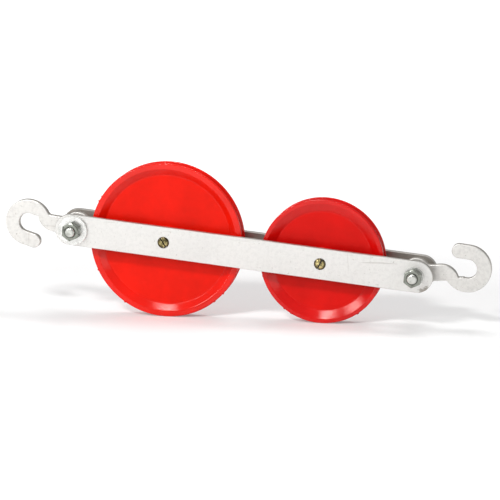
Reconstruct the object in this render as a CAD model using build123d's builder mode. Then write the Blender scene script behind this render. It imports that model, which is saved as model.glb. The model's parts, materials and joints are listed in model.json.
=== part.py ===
"""Two-sheave in-line stringing block with a flat plate hook at each end.

Millimetres. +Z is up and the block stands on its two sheaves on the plane Z = 0.
+X runs along the block from the large sheave to the small one, and the front, where the nuts are, faces -Y.
The origin lies on the ground under the middle of the overall box.
"""

import os
from math import asin, cos, pi, radians, sin, sqrt, tan

from build123d import *

# --- driving dimensions ---------------------------------------------------------------------------------
# sheaves
large_radius = 62.5
small_radius = 50.0
sheave_gap = 15.0  # between the two rims, along the line of the axles
axle_spacing = large_radius + sheave_gap + small_radius
sheave_width = 12.0
large_lip = 4.6  # flat ring at the edge of each flange
small_lip = 3.2
large_cone = 5.4  # sloping ring between the lip and the web
small_cone = 6.8
web_thickness = 4.8
groove_mouth = 8.2
groove_floor = 4.2
groove_depth = 9.0
groove_root_share = 0.45  # fillet at the groove's floor, as a share of the floor's width
rim_round = 0.8
ridge_round = 1.2  # between the lip and the cone
web_fillet = 2.0  # between the cone and the web
hub_fillet = 0.6

# side plates
plate_thickness = 4.0
plate_width = 25.0
plate_gap = 20.0
bolt_clearance = 12.5  # from the large sheave's rim to the axis of the bolt beyond it
bolt_offset = large_radius + bolt_clearance  # from each axle to the bolt beyond it
plate_end = 15.0  # from a bolt's axis to the plate's end
plate_edge = 0.4

# axles, bushes and thrust washers
axle_radius = 5.0
axle_chamfer = 0.4
bush_wall = 2.0
bush_radius = axle_radius + bush_wall
running_clearance = 0.05
thrust_radius = 9.5
thrust_thickness = 1.5
hub_wall = 3.8
hub_radius = bush_radius + hub_wall
hub_side_play = 0.15  # between the hub and each thrust washer
hub_length = plate_gap - 2 * (thrust_thickness + running_clearance + hub_side_play)
ring_chamfer = 0.3  # on bushes and spacers

# raised countersunk slotted screws that hold the axles
screw_radius = 2.5
screw_length = 11.0  # from the plate's face to the screw's tip
screw_tip_chamfer = 0.5
screw_hole_play = 0.3
screw_head_radius = 4.65
screw_head_rise = 1.2
screw_head_play = 0.15
screw_slot_width = 1.2
screw_slot_depth = 1.9
countersink_angle = 90.0
slot_overrun = 0.5  # the slot is cut this far past the head on each side
tap_run_out = 2.0  # hole left beyond the screw's tip
tap_depth = screw_length - plate_thickness + tap_run_out
large_slot_angle = -52.0
small_slot_angle = 70.0

# hook bolts, nuts and washers
bolt_radius = 4.0
bolt_end = 1.9  # what shows of the left bolt beyond its nut
bolt_tip_round = 1.6
bolt_hole_play = 0.4
hex_across_flats = 13.0
hex_corner_chamfer = 0.75
hex_face_inset = 0.15  # from the flats to the round at each face
hex_corner_overrun = 0.2
bolt_head_height = 5.3
nut_height = 6.5
thread_clearance = 0.05
plain_washer_radius = 8.0
plain_washer_thickness = 1.6
wide_washer_radius = 12.0
wide_washer_thickness = 2.0
washer_chamfer = 0.2
washer_hole_play = 0.2
washer_hole_radius = bolt_radius + washer_hole_play
spacer_radius = 7.5

# plate hooks, laid out from the bolt's axis
hook_thickness = 5.0
hook_side_play = 0.2
hook_edge = 0.8
eye_radius = 12.4
eye_hole_play = 0.25
eye_hole_radius = bolt_radius + eye_hole_play
shank_width = 13.2
ring_reach = 40.9
shoulder_back = 21.4  # from the ring's centre back to where the shoulder's round begins
shoulder_reach = ring_reach - shoulder_back
shoulder_radius = 14.0
ring_rise = 2.2
throat_radius = 7.5
throat_lead = 240.0  # where the round of the throat begins, in degrees
arm_width = 11.4
arm_angle = 11.0  # how far the arm opens away from the shank
arm_length = 8.4
neck_fillet = 3.0
corner_fillet = 1.0
left_hook_lean = -1.0
right_hook_lean = 10.0

# --- where things stand -----------------------------------------------------------------------------------
tilt = asin((large_radius - small_radius) / axle_spacing)
half_gap = plate_gap / 2
plate_face = half_gap + plate_thickness
bolt_head_face = plate_face + plain_washer_thickness
bolt_tip = plate_face + wide_washer_thickness + nut_height + bolt_end
bolt_length = bolt_head_face + bolt_tip
left_bolt = -bolt_offset
right_bolt = axle_spacing + bolt_offset
ring_outer_radius = throat_radius + arm_width
tolerance = 0.01  # how close a point lies to the one that is looked for


def reach_along_ground(bolt, lean):
    """Ground position of a hook's ring centre, measured from the large axle."""
    along = bolt + ring_reach * cos(lean) - ring_rise * sin(lean)
    up = ring_reach * sin(lean) + ring_rise * cos(lean)
    return along * cos(tilt) + up * sin(tilt)


leftmost = reach_along_ground(left_bolt, radians(180 + left_hook_lean)) - ring_outer_radius
rightmost = reach_along_ground(right_bolt, radians(right_hook_lean)) + ring_outer_radius
large_axle_x = -(leftmost + rightmost) / 2
middle_y = (bolt_tip - bolt_head_face - bolt_head_height) / 2

# The bar frame: x along the side plates, y up across them, z out of the front plate.
bar = Plane(
    origin=(large_axle_x, middle_y, large_radius),
    x_dir=(cos(tilt), 0, -sin(tilt)),
    z_dir=(0, -1, 0),
)
# The same frame seen from behind: z out of the rear plate.
bar_rear = Plane(origin=bar.origin, x_dir=bar.x_dir, z_dir=-bar.z_dir)

os.makedirs("parts", exist_ok=True)


def save(builder, name):
    """Labels a finished piece and writes it as a STEP file."""
    builder.part.label = name
    export_step(builder.part, f"parts/{name}.step")


def seat(side, along, height, turn=0.0):
    """Plane across the bar's bolts and axles: height above mid-plane towards that side, x turned by turn."""
    return Plane(side.location * Location((along, 0, height), (0, 0, turn)))


# --- sheaves: one moulding each, with a rope groove, dished sides and a hub --------------------------------
def sheave(name, radius, lip, cone, along):
    centre = seat(bar, along, 0)
    section = Plane(origin=centre.origin, x_dir=centre.x_dir, z_dir=-centre.y_dir)
    half_width = sheave_width / 2
    ridge_radius = radius - lip
    web_radius = ridge_radius - cone
    floor_radius = radius - groove_depth
    with BuildPart() as moulding:
        with BuildSketch(section) as profile:
            with BuildLine():
                Polyline(
                    (bush_radius, 0),
                    (bush_radius, hub_length / 2),
                    (hub_radius, hub_length / 2),
                    (hub_radius, web_thickness / 2),
                    (web_radius, web_thickness / 2),
                    (ridge_radius, half_width),
                    (radius, half_width),
                    (radius, groove_mouth / 2),
                    (floor_radius, groove_floor / 2),
                    (floor_radius, 0),
                    close=True,
                )
            make_face()
            mirror(about=Plane.XZ)
            for reach, rounding in (
                (hub_radius, hub_fillet),
                (web_radius, web_fillet),
                (floor_radius, groove_floor * groove_root_share),
                (ridge_radius, ridge_round),
                (radius, rim_round),
            ):
                corners = profile.vertices().filter_by_position(Axis.X, reach - tolerance, reach + tolerance)
                fillet(corners, rounding)
        revolve(axis=Axis(centre.origin, centre.z_dir))
    save(moulding, name)


sheave("large_sheave", large_radius, large_lip, large_cone, 0)
sheave("small_sheave", small_radius, small_lip, small_cone, axle_spacing)


# --- rings: bushes, thrust washers, spacers and washers ----------------------------------------------------
def ring(name, start, outer, inner, length, edge=0.0):
    """A plain ring that stands on the plane start."""
    with BuildPart() as tube:
        with BuildSketch(start):
            Circle(outer)
            Circle(inner, mode=Mode.SUBTRACT)
        extrude(amount=length)
        if edge:
            chamfer(tube.edges().filter_by(GeomType.CIRCLE), edge)
    save(tube, name)


thrust_start = half_gap - thrust_thickness - running_clearance
for size, along in (("large", 0), ("small", axle_spacing)):
    ring(
        f"{size}_bush",
        seat(bar, along, -hub_length / 2),
        bush_radius,
        axle_radius + running_clearance,
        hub_length,
        edge=ring_chamfer,
    )
    for where, side in (("front", bar), ("rear", bar_rear)):
        ring(
            f"{size}_thrust_washer_{where}",
            seat(side, along, thrust_start),
            thrust_radius,
            axle_radius + running_clearance,
            thrust_thickness,
        )


# --- axles and their screws --------------------------------------------------------------------------------
def axle(name, along):
    with BuildPart() as pin:
        with BuildSketch(seat(bar, along, -half_gap)):
            Circle(axle_radius)
        extrude(amount=plate_gap)
        chamfer(pin.edges().filter_by(GeomType.CIRCLE), axle_chamfer)
        for side in (bar, bar_rear):
            with Locations(seat(side, along, half_gap)):
                Hole(screw_radius, depth=tap_depth)
    save(pin, name)


def axle_screw(name, side, along, slot_angle):
    """Raised countersunk head, flush cone in the plate, with a screwdriver slot."""
    face = seat(side, along, plate_face, slot_angle)
    section = Plane(origin=face.origin, x_dir=face.x_dir, z_dir=-face.y_dir)
    shank = screw_radius - thread_clearance
    cone_depth = (screw_head_radius - shank) / tan(radians(countersink_angle / 2))
    dome_radius = (screw_head_radius**2 + screw_head_rise**2) / (2 * screw_head_rise)
    half_angle = asin(screw_head_radius / dome_radius) / 2
    dome_drop = dome_radius * (1 - cos(half_angle))
    with BuildPart() as screw:
        with BuildSketch(section):
            with BuildLine():
                Polyline(
                    (0, screw_head_rise),
                    (0, -screw_length),
                    (shank - screw_tip_chamfer, -screw_length),
                    (shank, -screw_length + screw_tip_chamfer),
                    (shank, -cone_depth),
                    (screw_head_radius, 0),
                )
                ThreePointArc(
                    (screw_head_radius, 0),
                    (dome_radius * sin(half_angle), screw_head_rise - dome_drop),
                    (0, screw_head_rise),
                )
            make_face()
        revolve(axis=Axis(face.origin, face.z_dir))
        with BuildSketch(face.offset(screw_head_rise)):
            Rectangle(2 * (screw_head_radius + slot_overrun), screw_slot_width)
        extrude(amount=-screw_slot_depth, mode=Mode.SUBTRACT)
    save(screw, name)


for size, along, slot_angle in (
    ("large", 0, large_slot_angle),
    ("small", axle_spacing, small_slot_angle),
):
    axle(f"{size}_axle", along)
    axle_screw(f"{size}_axle_screw_front", bar, along, slot_angle)
    axle_screw(f"{size}_axle_screw_rear", bar_rear, along, -slot_angle)


# --- side plates: flat bars with round ends -----------------------------------------------------------------
def side_plate(name, side):
    middle = axle_spacing / 2
    length = axle_spacing + 2 * (bolt_offset + plate_end)
    with BuildPart() as plate:
        with BuildSketch(seat(side, middle, half_gap)):
            SlotOverall(length, plate_width)
        extrude(amount=plate_thickness)
        rims = plate.edges().group_by(Axis(side.origin, side.z_dir))
        chamfer(rims[0] + rims[-1], plate_edge)
        for along in (left_bolt, right_bolt):
            with Locations(seat(side, along, plate_face)):
                Hole(bolt_radius + bolt_hole_play)
        for along in (0, axle_spacing):
            with Locations(seat(side, along, plate_face)):
                CounterSinkHole(
                    radius=screw_radius + screw_hole_play,
                    counter_sink_radius=screw_head_radius + screw_head_play,
                    counter_sink_angle=countersink_angle,
                )
    save(plate, name)


side_plate("front_plate", bar)
side_plate("rear_plate", bar_rear)


# --- plate hooks: one flat outline, an eye for the bolt and a round throat ----------------------------------
def plate_hook(name, bolt, turn):
    start = seat(bar, bolt, -hook_thickness / 2, turn)
    half_shank = shank_width / 2
    opening = radians(arm_angle)
    lead = radians(throat_lead)

    def on_ring(radius, angle):
        return (ring_reach + radius * cos(angle), ring_rise + radius * sin(angle))

    def on_arm(along, out):
        """Point on the arm, measured along it from the ring's centre and out from it."""
        return (
            ring_reach - along * cos(opening) + out * sin(opening),
            ring_rise + along * sin(opening) + out * cos(opening),
        )

    throat_start = on_ring(throat_radius, lead)
    shoulder_drop = throat_start[1] - (half_shank - shoulder_radius)
    shoulder_end = shoulder_reach + sqrt(shoulder_radius**2 - shoulder_drop**2)
    shoulder_middle = (pi / 2 + asin(shoulder_drop / shoulder_radius)) / 2
    shoulder_point = (
        shoulder_reach + shoulder_radius * cos(shoulder_middle),
        half_shank - shoulder_radius * (1 - sin(shoulder_middle)),
    )
    neck_angle = pi + asin((ring_rise + half_shank) / ring_outer_radius)
    neck_point = on_ring(ring_outer_radius, neck_angle)
    arm_top = pi / 2 - opening
    middle_out = throat_radius + arm_width / 2
    with BuildPart() as hook:
        with BuildSketch(start) as outline:
            with BuildLine():
                Line((0, half_shank), (shoulder_reach, half_shank))
                ThreePointArc((shoulder_reach, half_shank), shoulder_point, (shoulder_end, throat_start[1]))
                Line((shoulder_end, throat_start[1]), throat_start)
                ThreePointArc(
                    throat_start,
                    on_ring(throat_radius, (lead - 2 * pi + arm_top) / 2),
                    on_ring(throat_radius, arm_top),
                )
                Line(on_arm(0, throat_radius), on_arm(arm_length, throat_radius))
                ThreePointArc(
                    on_arm(arm_length, throat_radius),
                    on_arm(arm_length + arm_width / 2, middle_out),
                    on_arm(arm_length, ring_outer_radius),
                )
                Line(on_arm(arm_length, ring_outer_radius), on_arm(0, ring_outer_radius))
                ThreePointArc(
                    on_ring(ring_outer_radius, arm_top),
                    on_ring(ring_outer_radius, (arm_top + neck_angle) / 2 - pi),
                    neck_point,
                )
                Polyline(neck_point, (0, -half_shank), (0, half_shank))
            make_face()
            for point, radius in (
                (neck_point, neck_fillet),
                ((shoulder_end, throat_start[1]), corner_fillet),
            ):
                corner = outline.vertices().sort_by_distance(point)[0]
                fillet(corner, radius)
            Circle(eye_radius)
            eye_reach = sqrt(eye_radius**2 - half_shank**2)
            for eye_side in (half_shank, -half_shank):
                root = outline.vertices().sort_by_distance((eye_reach, eye_side))[0]
                fillet(root, neck_fillet)
            Circle(eye_hole_radius, mode=Mode.SUBTRACT)
        extrude(amount=hook_thickness)
        faces = hook.faces().group_by(Axis(bar.origin, bar.z_dir))
        bore_edges = hook.edges().filter_by(GeomType.CIRCLE).filter_by(
            lambda e: abs(e.radius - eye_hole_radius) < tolerance
        )
        rims = [e for e in faces[0].edges() + faces[-1].edges() if e not in bore_edges]
        fillet(rims, hook_edge)
    save(hook, name)


plate_hook("left_hook", left_bolt, 180 + left_hook_lean)
plate_hook("right_hook", right_bolt, right_hook_lean)


# --- hook bolts, nuts, washers and spacers -----------------------------------------------------------------
def hexagon(start, height):
    """Hexagonal blank standing on the plane start, with its corners chamfered at both faces."""
    corner = hex_across_flats / sqrt(3)
    flat = hex_across_flats / 2
    rise = hex_corner_chamfer
    section = Plane(origin=start.origin, x_dir=start.x_dir, z_dir=-start.y_dir)
    with BuildPart() as blank:
        with BuildSketch(start):
            RegularPolygon(flat, 6, major_radius=False, rotation=30)
        extrude(amount=height)
        with BuildSketch(section):
            with BuildLine():
                Polyline(
                    (0, 0),
                    (flat - hex_face_inset, 0),
                    (corner + hex_corner_overrun, rise),
                    (corner + hex_corner_overrun, height - rise),
                    (flat - hex_face_inset, height),
                    (0, height),
                    close=True,
                )
            make_face()
        revolve(axis=Axis(start.origin, start.z_dir), mode=Mode.INTERSECT)
    return blank.part


def hook_bolt(name, along):
    """Hexagon bolt with its head behind the rear plate."""
    head_start = seat(bar_rear, along, bolt_head_face)
    head = hexagon(head_start, bolt_head_height)
    with BuildPart() as bolt:
        add(head)
        with BuildSketch(head_start):
            Circle(bolt_radius)
        extrude(amount=-bolt_length)
        tip = bolt.faces().sort_by(Axis(bar.origin, bar.z_dir))[-1]
        fillet(tip.edges(), bolt_tip_round)
    save(bolt, name)


def nut(name, along, height):
    blank = hexagon(seat(bar, along, height), nut_height)
    with BuildPart() as threaded:
        add(blank)
        with Locations(seat(bar, along, height + nut_height)):
            Hole(bolt_radius + thread_clearance)
    save(threaded, name)


spacer_length = (plate_gap - hook_thickness) / 2 - hook_side_play
for end, along, front_radius, front_thickness in (
    ("left", left_bolt, wide_washer_radius, wide_washer_thickness),
    ("right", right_bolt, plain_washer_radius, plain_washer_thickness),
):
    hook_bolt(f"{end}_bolt", along)
    nut(f"{end}_nut", along, plate_face + front_thickness)
    ring(
        f"{end}_washer_front",
        seat(bar, along, plate_face),
        front_radius,
        washer_hole_radius,
        front_thickness,
        edge=washer_chamfer,
    )
    ring(
        f"{end}_washer_rear",
        seat(bar_rear, along, plate_face),
        plain_washer_radius,
        washer_hole_radius,
        plain_washer_thickness,
        edge=washer_chamfer,
    )
    for where, side in (("front", bar), ("rear", bar_rear)):
        ring(
            f"{end}_spacer_{where}",
            seat(side, along, half_gap - spacer_length),
            spacer_radius,
            washer_hole_radius,
            spacer_length,
            edge=ring_chamfer,
        )
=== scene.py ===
"""Looks of the two-sheave stringing block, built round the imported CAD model.

Metres throughout: +X runs along the block, -Y faces the camera and +Z is up.
"""

import json
import math
import random

import bmesh
import bpy
from mathutils import Matrix, Vector

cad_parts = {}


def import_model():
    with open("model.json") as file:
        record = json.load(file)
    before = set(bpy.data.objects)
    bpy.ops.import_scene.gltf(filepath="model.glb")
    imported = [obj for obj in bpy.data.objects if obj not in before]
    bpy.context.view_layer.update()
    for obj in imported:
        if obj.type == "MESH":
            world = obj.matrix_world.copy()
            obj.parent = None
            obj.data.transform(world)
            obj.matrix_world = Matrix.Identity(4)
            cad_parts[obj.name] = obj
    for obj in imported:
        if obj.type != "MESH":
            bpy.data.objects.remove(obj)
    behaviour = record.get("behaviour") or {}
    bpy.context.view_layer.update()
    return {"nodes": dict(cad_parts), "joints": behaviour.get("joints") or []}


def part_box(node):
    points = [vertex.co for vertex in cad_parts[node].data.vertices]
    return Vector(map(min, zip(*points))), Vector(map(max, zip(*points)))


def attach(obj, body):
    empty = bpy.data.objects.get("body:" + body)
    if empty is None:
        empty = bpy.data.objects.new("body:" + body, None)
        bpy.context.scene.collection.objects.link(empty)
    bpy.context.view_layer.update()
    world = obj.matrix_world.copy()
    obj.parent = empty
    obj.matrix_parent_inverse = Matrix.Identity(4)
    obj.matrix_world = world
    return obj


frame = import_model()

MM = 0.001
NODES = frame["nodes"]
JOINTS = {joint["name"]: Vector(joint["pos_m"]) for joint in frame["joints"]}
LARGE_AXLE = JOINTS["large_sheave_spin"]
SMALL_AXLE = JOINTS["small_sheave_spin"]
LEFT_BOLT = JOINTS["left_hook_pivot"]
RIGHT_BOLT = JOINTS["right_hook_pivot"]
ALONG = (SMALL_AXLE - LARGE_AXLE).normalized()
TILT = math.atan2(-ALONG.z, ALONG.x)  # how far the block slopes down towards +X
PLATE_FACE = LARGE_AXLE.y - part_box("front_plate")[0].y  # from the axles' middle to a plate's outer face
RIM_BAND = 10 * MM  # width of the lip and the cone together, on both sheaves
FLANGE_HALF_WIDTH = 6 * MM  # the hub is longer, so a sheave's box doesn't give it
BOLT_RADIUS = 4 * MM


# --- shader helpers -----------------------------------------------------------------------------------
class Shader:
    """A node material with a Principled surface and short calls for the nodes that feed it."""

    def __init__(self, name, color, roughness, metallic=0.0, **sockets):
        self.material = bpy.data.materials.new(name)
        self.material.use_nodes = True
        self.tree = self.material.node_tree
        self.surface = self.tree.nodes["Principled BSDF"]
        self.set(self.surface, {"Base Color": (*color, 1), "Roughness": roughness, "Metallic": metallic})
        self.set(self.surface, sockets)
        self.place = self.add("ShaderNodeTexCoord").outputs["Object"]

    def set(self, node, values):
        for socket, value in values.items():
            node.inputs[socket].default_value = value

    def add(self, kind, settings=None, **links):
        """A new node. Settings are its properties or unlinked sockets, and links are sources by socket."""
        node = self.tree.nodes.new(kind)
        for key, value in (settings or {}).items():
            if hasattr(node, key):
                setattr(node, key, value)
            else:
                node.inputs[key].default_value = value
        for socket, source in links.items():
            self.tree.links.new(source, node.inputs[socket])
        return node

    def feed(self, socket, source):
        self.tree.links.new(source, self.surface.inputs[socket])

    def stretched(self, scale, turn=(0, 0, 0), source=None):
        settings = {"Scale": scale, "Rotation": turn}
        return self.add("ShaderNodeMapping", settings, Vector=source or self.place).outputs["Vector"]

    def noise(self, scale, detail, roughness, vector=None):
        settings = {"Scale": scale, "Detail": detail, "Roughness": roughness}
        return self.add("ShaderNodeTexNoise", settings, Vector=vector or self.place).outputs["Fac"]

    def ramp(self, source, low, high, start=0.0, end=1.0):
        """Goes from start to end, and no further, as the source goes from low to high."""
        settings = {"From Min": low, "From Max": high, "To Min": start, "To Max": end}
        return self.add("ShaderNodeMapRange", settings, Value=source).outputs["Result"]

    def math(self, operation, *values):
        """A sum or function of one or two values, each a number or a socket."""
        node = self.add("ShaderNodeMath", {"operation": operation})
        for socket, value in zip(node.inputs, values):
            if isinstance(value, (int, float)):
                socket.default_value = value
            else:
                self.tree.links.new(value, socket)
        return node.outputs["Value"]

    def blend(self, factor, first, second):
        """Mixes two colours, each a tuple or a socket, by factor."""
        node = self.add("ShaderNodeMix", {"data_type": "RGBA"}, Factor=factor)
        for socket, value in ((node.inputs[6], first), (node.inputs[7], second)):
            if isinstance(value, tuple):
                socket.default_value = (*value, 1)
            else:
                self.tree.links.new(value, socket)
        return node.outputs[2]

    def bump(self, height, strength, distance, normal=None):
        """Relief, on top of the normal where one is given."""
        node = self.add("ShaderNodeBump", {"Strength": strength, "Distance": distance}, Height=height)
        if normal:
            self.tree.links.new(normal, node.inputs["Normal"])
        return node.outputs["Normal"]

    def component(self, vector, axis):
        return self.add("ShaderNodeSeparateXYZ", Vector=vector).outputs[axis]

    def length(self, vector):
        return self.add("ShaderNodeVectorMath", {"operation": "LENGTH"}, Vector=vector).outputs["Value"]

    def offset(self, centre):
        """Where a point lies, measured from centre."""
        node = self.add("ShaderNodeVectorMath", {"operation": "SUBTRACT"}, Vector=self.place)
        node.inputs[1].default_value = centre
        return node.outputs["Vector"]

    def from_axis(self, centre):
        """How far a point lies from the front-to-back axis through centre."""
        return self.length(self.stretched((1, 0, 1), source=self.offset(centre)))


# --- materials ----------------------------------------------------------------------------------------
def red_plastic(name, color, axle, node, rim_roughness):
    """Moulded red plastic: faint flow marks and scuffs on a satin web, inside a polished cone and lip."""
    web_roughness = 0.33
    seam = 1 * MM  # half the width over which the web's finish changes into the cone's
    ring_waves = 9000  # turning marks, in radians for each metre of radius
    web_tint, rim_tint = (1, 0.36, 0.3), (1, 0.8, 0.76)
    dark = tuple(channel * 0.8 for channel in color)
    pale = (min(1, color[0] * 1.06), color[1] + 0.02, color[2] + 0.016)

    look = Shader(name, color, 0.38, **{"Specular IOR Level": 0.42})
    cloud = look.noise(28, 4, 0.6)
    fine = look.noise(900, 3, 0.7)
    streak = look.noise(55, 4, 0.65, look.stretched((1, 1, 5), (0, 0.6, 0)))
    scuff = look.noise(160, 5, 0.75, look.stretched((1, 1, 0.25), (0, 0.9, 0)))
    tone = look.blend(look.ramp(cloud, 0.35, 0.7), dark, color)
    tone = look.blend(look.ramp(streak, 0.62, 0.8, 0, 0.35), tone, pale)
    look.feed("Base Color", look.blend(look.ramp(scuff, 0.66, 0.74, 0, 0.4), tone, pale))

    low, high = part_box(node)
    web_edge = (high.x - low.x) / 2 - RIM_BAND
    radius = look.from_axis(axle)
    polished = look.ramp(radius, web_edge - seam, web_edge + seam)
    finish = look.ramp(polished, 0, 1, web_roughness, rim_roughness)
    uneven = look.ramp(look.noise(40, 5, 0.7), 0.3, 0.75, 0, 0.07)
    look.feed("Specular Tint", look.blend(polished, web_tint, rim_tint))
    look.feed("Roughness", look.math("ADD", finish, uneven))

    rings = look.math("SINE", look.math("MULTIPLY", radius, ring_waves))
    normal = look.bump(rings, 0.08, 0.00004)
    normal = look.bump(fine, 0.4, 0.00008, normal)
    look.feed("Normal", look.bump(cloud, 0.3, 0.0006, normal))
    return look.material


def flat_bar(name, color, dirt_and_shade, mottling, inward=0, wear=None):
    """Mill-finish aluminium flat bar: long drawing lines, scratches, pits, and sawn edges darkened as
    painted shade.

    The face that looks inward (1 for +Y, -1 for -Y) is darkened as painted shade between the plates, and
    tools have marked the bar round the point wear.
    """
    wear_core, wear_reach = 5 * MM, 11 * MM
    shade = tuple(channel * 0.74 for channel in color)

    look = Shader(name, color, 0.46, 0.88)
    grain = look.noise(900, 4, 0.6, look.stretched((0.02, 1, 1), (0, -TILT, 0)))
    cloud = look.noise(24, 4, 0.6)
    mottle = look.noise(330, 4, 0.75)
    long_scratch = look.noise(420, 3, 0.5, look.stretched((0.05, 1, 1), (0, 0.5, 0)))
    cross_scratch = look.noise(380, 3, 0.5, look.stretched((1, 1, 0.05), (0, 0.25, 0)))
    pit = look.noise(520, 2, 0.5)
    normal_y = look.component(look.add("ShaderNodeNewGeometry").outputs["Normal"], "Y")
    # Painted shade: the edges, off the broad faces, are darkened towards the dirt-and-shade colour.
    edge = look.ramp(look.math("ABSOLUTE", normal_y), 0.35, 0.8, 1, 0)

    tone = look.blend(look.ramp(cloud, 0.42, 0.72, 0, 0.22), color, shade)
    tone = look.blend(look.ramp(mottle, 0.44, 0.70, 0, mottling), tone, shade)
    tone = look.blend(look.ramp(long_scratch, 0.66, 0.72, 0, 0.3), tone, dirt_and_shade)
    tone = look.blend(look.ramp(cross_scratch, 0.68, 0.73, 0, 0.22), tone, dirt_and_shade)
    tone = look.blend(look.ramp(pit, 0.70, 0.76, 0, 0.5), tone, dirt_and_shade)
    tone = look.blend(look.math("MULTIPLY", edge, 0.55), tone, dirt_and_shade)
    if wear:
        near = look.ramp(look.length(look.offset(wear)), wear_core, wear_reach, 1, 0)
        gouge = look.noise(300, 3, 0.6, look.stretched((0.25, 1, 1), (0, 0.45, 0)))
        marked = look.math("MULTIPLY", near, look.ramp(gouge, 0.56, 0.62, 0, 0.8))
        tone = look.blend(marked, tone, dirt_and_shade)
    if inward:
        # Painted shade: the inner face, between the two plates, darkened.
        inner_shade = look.ramp(look.math("MULTIPLY", normal_y, inward), 0.5, 0.9, 0, 0.75)
        tone = look.blend(inner_shade, tone, dirt_and_shade)
    look.feed("Base Color", tone)
    look.feed("Roughness", look.ramp(look.noise(90, 5, 0.7), 0.3, 0.75, 0.38, 0.58))

    normal = look.bump(grain, 0.12, 0.00008)
    normal = look.bump(long_scratch, 0.1, 0.00006, normal)
    look.feed("Normal", look.bump(pit, 0.12, 0.0001, normal))
    return look.material


def smooth_metal(name, color, stain, bolt=None):
    """Smooth metal with stains in patches and, round the bolt's axis where one is given, a ring of painted
    shade.
    """
    painted_shade = (0.03, 0.03, 0.025)
    ring_start, ring_end = BOLT_RADIUS + 0.2 * MM, BOLT_RADIUS + 1.1 * MM

    look = Shader(name, color, 0.3, 0.9)
    tone = look.blend(look.ramp(look.noise(150, 3, 0.6), 0.5, 0.72, 0, 0.7), color, stain)
    if bolt:
        # Painted shade: a dark ring on the nut round the bolt, where its hole meets the bolt.
        tone = look.blend(look.ramp(look.from_axis(bolt), ring_start, ring_end, 0.9, 0), tone, painted_shade)
    look.feed("Base Color", tone)
    look.feed("Roughness", look.ramp(look.noise(600, 3, 0.6), 0.3, 0.7, 0.2, 0.42))
    look.feed("Normal", look.bump(look.noise(1500, 3, 0.6), 0.15, 0.00006))
    return look.material


def turned_brass(name, axle):
    """Slotted brass heads on both ends of an axle: bright middle with patches of tarnish, and a rim and a
    slot darkened as painted shade.
    """
    color, tarnish = (0.72, 0.6, 0.27), (0.09, 0.075, 0.035)
    painted_rim_shade, painted_shade = (0.06, 0.045, 0.025), (0.025, 0.02, 0.015)

    look = Shader(name, color, 0.28, 0.95)
    stain = look.ramp(look.noise(420, 3, 0.6), 0.46, 0.6, 0, 0.85)
    rim_shade = look.ramp(look.from_axis(axle), 2.2 * MM, 4.1 * MM)
    depth = look.math("ABSOLUTE", look.component(look.offset(axle), "Y"))
    slot = look.ramp(depth, PLATE_FACE - 0.4 * MM, PLATE_FACE + 0.2 * MM, 1, 0)
    # Painted shade: the head darkens towards its rim, over the patches of tarnish.
    tone = look.blend(rim_shade, look.blend(stain, color, tarnish), painted_rim_shade)
    # Painted shade: the slot's floor, below the plate's face, dark and dull.
    look.feed("Base Color", look.blend(slot, tone, painted_shade))
    look.feed("Metallic", look.ramp(slot, 0, 1, 0.95, 0.2))
    look.feed("Roughness", look.ramp(look.noise(900, 3, 0.6), 0.3, 0.7, 0.14, 0.3))
    look.feed("Normal", look.bump(look.noise(1100, 2, 0.5), 0.35, 0.0001))
    return look.material


# --- carried-over CAD pieces --------------------------------------------------------------------------
def dress(names, material):
    for name in names:
        materials = NODES[name].data.materials
        materials.clear()
        materials.append(material)


def smooth(node):
    """Smooth shading that leaves edges of more than 30 degrees crisp."""
    crease = math.radians(30)
    mesh = node.data
    for face in mesh.polygons:
        face.use_smooth = True
    shape = bmesh.new()
    shape.from_mesh(mesh)
    for edge in shape.edges:
        edge.smooth = len(edge.link_faces) != 2 or edge.calc_face_angle(0) <= crease
    shape.to_mesh(mesh)
    shape.free()


def dress_bars():
    plate_color, plate_dirt_and_shade, plate_mottling = (0.79, 0.78, 0.755), (0.30, 0.27, 0.23), 0.38
    hook_color, hook_dirt_and_shade, hook_mottling = (0.77, 0.755, 0.725), (0.26, 0.23, 0.19), 0.6
    below_right_nut = RIGHT_BOLT + Vector((9 * MM, -PLATE_FACE, -9 * MM))
    front = flat_bar("front_plate_metal", plate_color, plate_dirt_and_shade, plate_mottling, 1, below_right_nut)
    dress(["front_plate"], front)
    dress(["rear_plate"], flat_bar("rear_plate_metal", plate_color, plate_dirt_and_shade, plate_mottling, -1))
    dress(["left_hook", "right_hook"], flat_bar("hook_metal", hook_color, hook_dirt_and_shade, hook_mottling))


def dress_bolts():
    bolt_steel = smooth_metal("bolt_steel", (0.62, 0.63, 0.59), (0.22, 0.23, 0.2))
    washer_steel = smooth_metal("washer_steel", (0.78, 0.78, 0.76), (0.5, 0.5, 0.47))
    for end, bolt in (("left", LEFT_BOLT), ("right", RIGHT_BOLT)):
        nut_steel = smooth_metal(f"{end}_nut_steel", (0.27, 0.285, 0.25), (0.08, 0.085, 0.07), bolt)
        dress([f"{end}_nut"], nut_steel)
        dress([f"{end}_bolt"], bolt_steel)
        dress([f"{end}_washer_front", f"{end}_washer_rear"], washer_steel)
        dress([f"{end}_spacer_front", f"{end}_spacer_rear"], washer_steel)


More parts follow.
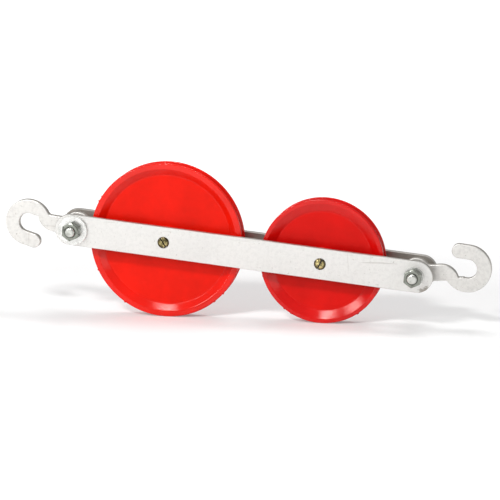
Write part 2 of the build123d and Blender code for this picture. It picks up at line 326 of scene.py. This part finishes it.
def dress_sheaves():
    large_red, small_red = (0.90, 0.009, 0.002), (0.73, 0.004, 0.003)
    turned_steel = smooth_metal("turned_steel", (0.5, 0.5, 0.5), (0.2, 0.2, 0.2))
    bronze = smooth_metal("bush_bronze", (0.45, 0.28, 0.12), (0.2, 0.12, 0.06))
    for size, axle, red, rim_roughness in (
        ("large", LARGE_AXLE, large_red, 0.11),
        ("small", SMALL_AXLE, small_red, 0.10),
    ):
        sheave = f"{size}_sheave"
        dress([sheave], red_plastic(f"red_plastic_{size}", red, axle, sheave, rim_roughness))
        dress([f"{size}_axle_screw_front", f"{size}_axle_screw_rear"], turned_brass(f"brass_{size}", axle))
        dress([f"{size}_axle", f"{size}_thrust_washer_front", f"{size}_thrust_washer_rear"], turned_steel)
        dress([f"{size}_bush"], bronze)


# --- added pieces -------------------------------------------------------------------------------------
def piece(name, verts, faces, material, body):
    """A smooth-shaded mesh of the scene's own, which moves with the body."""
    mesh = bpy.data.meshes.new(name)
    mesh.from_pydata(verts, [], faces)
    mesh.update()
    obj = bpy.data.objects.new(name, mesh)
    bpy.context.scene.collection.objects.link(obj)
    mesh.materials.append(material)
    for face in mesh.polygons:
        face.use_smooth = True
    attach(obj, body)


def thread(end, material):
    """Helical crest on the end of a bolt, from its nut's outer face to its rounded tip."""
    pitch = 1.25 * MM
    tip_round = 1.5 * MM
    crest, sunk = 0.12 * MM, 0.05 * MM  # out of the bolt's surface, and into it at the foot
    foot = 0.38  # from the crest to each foot, as a share of the pitch
    steps_per_turn, fade_steps = 40, 12

    nut_low, nut_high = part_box(f"{end}_nut")
    centre_x = (nut_low.x + nut_high.x) / 2
    centre_z = (nut_low.z + nut_high.z) / 2
    start = nut_low.y
    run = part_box(f"{end}_bolt")[0].y + tip_round - start
    turns = -run / pitch
    steps = int(turns * steps_per_turn)
    verts, faces = [], []
    for i in range(steps + 1):
        angle = 2 * math.pi * turns * i / steps
        y = start + run * i / steps
        fade = min(1, i / fade_steps, (steps - i) / fade_steps)
        for out, shift in ((-sunk, foot), (crest * fade, 0), (-sunk, -foot)):
            x = centre_x + (BOLT_RADIUS + out) * math.cos(angle)
            z = centre_z + (BOLT_RADIUS + out) * math.sin(angle)
            verts.append((x, y + shift * pitch, z))
    for i in range(steps):
        for j in (0, 1):
            a = 3 * i + j
            faces.append((a, a + 1, a + 4, a + 3))
    piece(f"{end}_thread", verts, faces, material, "frame")


def flash_nibs(size, axle, angles, seed):
    """Small torn bits of mould flash on the edge of a sheave's front flange, at angles in degrees."""
    rings, around = 7, 6
    sunk = 0.35 * MM  # how far a nib's middle line lies inside the rim
    inset = 0.9 * MM  # from the flange's front face
    thickness = 0.35 * MM

    rng = random.Random(seed)
    sheave = f"{size}_sheave"
    low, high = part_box(sheave)
    radius = (high.x - low.x) / 2
    verts, faces = [], []
    for angle in angles:
        turn = math.radians(angle)
        radial = Vector((math.cos(turn), 0, math.sin(turn)))
        tangent = Vector((-math.sin(turn), 0, math.cos(turn)))
        middle = axle + radial * (radius - sunk) + Vector((0, inset - FLANGE_HALF_WIDTH, 0))
        length = rng.uniform(1.6, 3.4) * MM
        height = rng.uniform(0.9, 1.5) * MM
        base = len(verts)
        for i in range(rings):
            along = (i / (rings - 1) - 0.5) * length
            swell = math.sin(math.pi * (i + 0.35) / (rings - 0.3)) * rng.uniform(0.65, 1.0)
            for j in range(around):
                a = 2 * math.pi * j / around
                out = radial * (math.cos(a) * height * swell)
                side = Vector((0, math.sin(a) * thickness * swell, 0))
                verts.append(middle + tangent * along + out + side)
        for i in range(rings - 1):
            a, b = base + i * around, base + (i + 1) * around
            for j in range(around):
                k = (j + 1) % around
                faces.append((a + j, a + k, b + k, b + j))
        faces.append(tuple(base + j for j in reversed(range(around))))
        faces.append(tuple(base + (rings - 1) * around + j for j in range(around)))
    material = NODES[sheave].data.materials[0]
    piece(f"{size}_flash_nibs", verts, faces, material, sheave)


# --- stage --------------------------------------------------------------------------------------------
def pale_floor():
    """Pale floor with a painted glow, seen by the camera and in reflections: weak near the block, so that
    its shadows stay, and white further out.
    """
    near, far = 0.25, 1.0  # from the middle of the floor
    pale, paler = (0.80, 0.80, 0.80), (0.82, 0.82, 0.82)
    look = Shader("pale_floor", paler, 0.7, **{"Emission Color": (1, 1, 1, 1)})
    path = look.add("ShaderNodeLightPath")
    seen = look.math("MAXIMUM", path.outputs["Is Camera Ray"], path.outputs["Is Glossy Ray"])
    seen = look.math("MAXIMUM", seen, path.outputs["Is Transmission Ray"])
    # Painted light: the floor glows for camera and reflected rays, more with distance from the middle.
    painted_glow = look.ramp(look.length(look.place), near, far, 0.17, 0.95)
    look.feed("Emission Strength", look.math("MULTIPLY", seen, painted_glow))
    look.feed("Base Color", look.blend(look.ramp(look.noise(6, 2, 0.5), 0.3, 0.7), paler, pale))
    return look.material


def stage():
    reach = 6.0
    mesh = bpy.data.meshes.new("floor")
    corners = [(-reach, -reach, 0), (reach, -reach, 0), (reach, reach, 0), (-reach, reach, 0)]
    mesh.from_pydata(corners, [], [(0, 1, 2, 3)])
    floor = bpy.data.objects.new("floor", mesh)
    bpy.context.scene.collection.objects.link(floor)
    mesh.materials.append(pale_floor())


def world():
    """White where the camera sees it, and dimmer as a light."""
    light_level, seen_level = 0.36, 1.0
    sky = bpy.data.worlds.new("studio")
    bpy.context.scene.world = sky
    sky.use_nodes = True
    nodes, links = sky.node_tree.nodes, sky.node_tree.links
    background = nodes["Background"]
    background.inputs["Color"].default_value = (1, 1, 1, 1)
    path = nodes.new("ShaderNodeLightPath")
    seen = nodes.new("ShaderNodeMath")
    seen.operation = "MAXIMUM"
    links.new(path.outputs["Is Camera Ray"], seen.inputs[0])
    links.new(path.outputs["Is Transmission Ray"], seen.inputs[1])
    strength = nodes.new("ShaderNodeMapRange")
    strength.inputs["To Min"].default_value = light_level
    strength.inputs["To Max"].default_value = seen_level
    links.new(seen.outputs["Value"], strength.inputs["Value"])
    links.new(strength.outputs["Result"], background.inputs["Strength"])


def lamp(name, place, size, power):
    """White rectangular lamp, aimed at a point just above the middle of the floor."""
    aim = Vector((0, 0, 0.05))
    data = bpy.data.lights.new(name, "AREA")
    data.shape = "RECTANGLE"
    data.size, data.size_y = size
    data.energy = power
    obj = bpy.data.objects.new(name, data)
    obj.location = place
    obj.rotation_euler = (aim - Vector(place)).to_track_quat("-Z", "Y").to_euler()
    bpy.context.scene.collection.objects.link(obj)


def camera():
    """Long lens, right of square-on and a little above, as fitted to the outlines in the photo."""
    place = Vector((0.4711, -2.0644, 0.5199))
    forward = Vector((-0.2153, 0.9528, -0.2139)).normalized()
    up = Vector((-0.0374, 0.2108, 0.9768)).normalized()
    right = forward.cross(up).normalized()
    up = right.cross(forward)
    data = bpy.data.cameras.new("camera")
    data.lens = 196.2
    data.sensor_width = 36.0
    obj = bpy.data.objects.new("camera", data)
    turn = Matrix((right, up, -forward)).transposed().to_4x4()
    obj.matrix_world = Matrix.Translation(place) @ turn
    bpy.context.scene.collection.objects.link(obj)
    bpy.context.scene.camera = obj


dress_bars()
dress_bolts()
dress_sheaves()
for node in NODES.values():
    smooth(node)

# The thread's crests in a steel darker than the bolt's.
dark_thread_steel = smooth_metal("dark_thread_steel", (0.16, 0.165, 0.145), (0.06, 0.06, 0.05))
thread("left", dark_thread_steel)
thread("right", dark_thread_steel)
flash_nibs("large", LARGE_AXLE, (147, 151, 205, 236, 309, 318), seed=3)
flash_nibs("small", SMALL_AXLE, (128, 196, 232, 240, 305), seed=7)

stage()
world()
lamp("key", (-1.3, -1.5, 0.9), (0.6, 0.5), 12)
lamp("gloss", (-0.44, -1.12, 1.22), (0.44, 0.18), 13)
lamp("top", (0.2, 0.45, 1.5), (0.9, 0.5), 9)
lamp("fill", (1.6, -1.5, 0.4), (1.0, 0.5), 2)
camera()

bpy.context.scene.view_settings.view_transform = "Standard"
